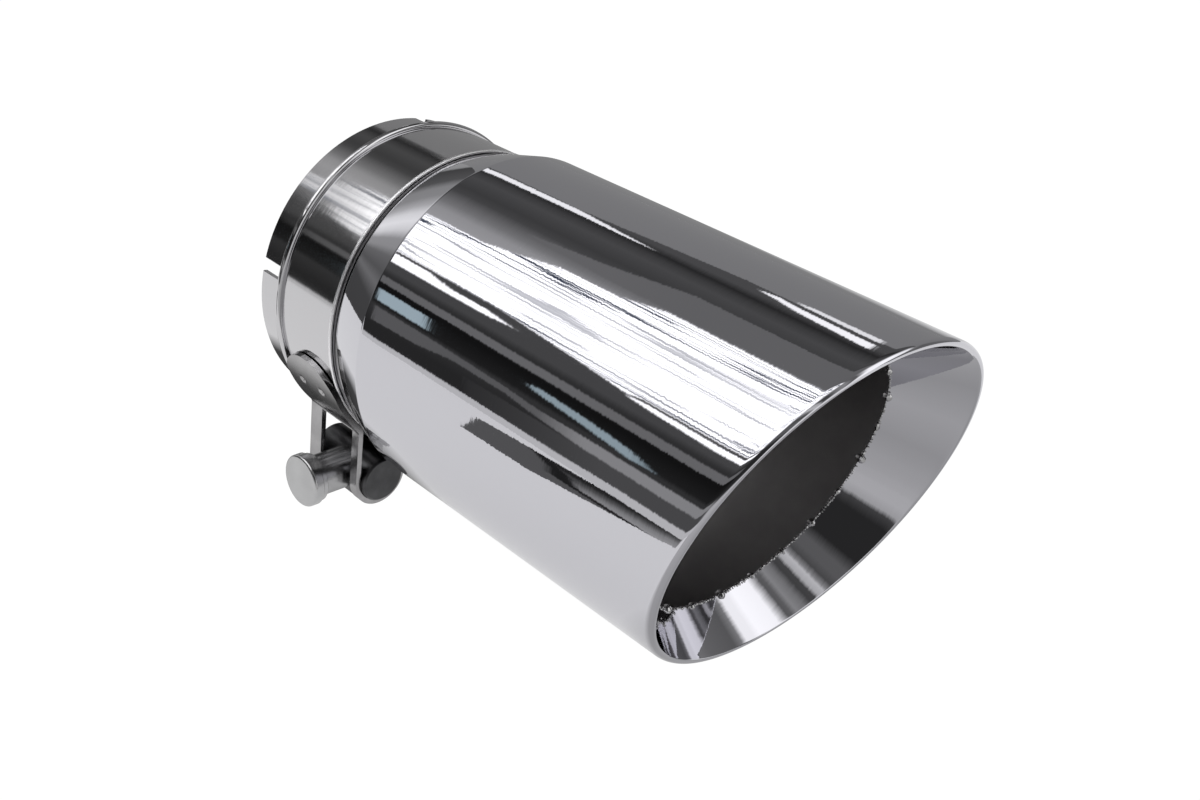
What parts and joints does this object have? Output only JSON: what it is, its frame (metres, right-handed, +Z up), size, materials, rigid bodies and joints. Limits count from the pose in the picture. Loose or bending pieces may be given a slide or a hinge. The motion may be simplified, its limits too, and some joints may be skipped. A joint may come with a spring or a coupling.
{
  "type": "exhaust tip",
  "caption": "Slash-cut, double-wall exhaust tip with a rolled rim, a slotted inlet that slides over a tail pipe, and a bolted band clamp that closes the inlet on it.",
  "frame": {"origin": "centre of the inlet's open end, on the tube's axis", "axes": "+X along the tube from the inlet to the outlet, +Z up as the tip lies in the picture, -Y towards the camera's side"},
  "size_m": [0.1821, 0.1094, 0.1182],
  "materials": {
    "polished_shell": "mirror polished",
    "polished_sleeve": "polished",
    "polished_band": "mirror polished",
    "dark_liner": "satin, smoked",
    "stamped_steel": "satin",
    "satin_hardware": "satin",
    "dark_pin_steel": "dark satin"
  },
  "bodies": {
    "tip": {"outer_shell": "polished_shell", "inner_tube": "dark_liner", "inlet_sleeve": "polished_sleeve", "clamp_band": "polished_band", "head_strap": "stamped_steel", "nut_strap": "stamped_steel", "head_trunnion": "dark_pin_steel", "nut_trunnion": "dark_pin_steel", "head_spacer": "satin_hardware", "nut_spacer": "satin_hardware", "head_washer": "satin_hardware", "nut_washer": "satin_hardware", "clamp_bolt": "satin_hardware"},
    "nut": {"clamp_nut": "satin_hardware"}
  },
  "joints": [
    {"name": "nut_turn", "type": "hinge", "parent": "tip", "child": "nut", "pos_m": [0.0243, 0.03684, -0.06037], "axis": [0, 0.9803, -0.1977], "continuous": true}
  ]
}
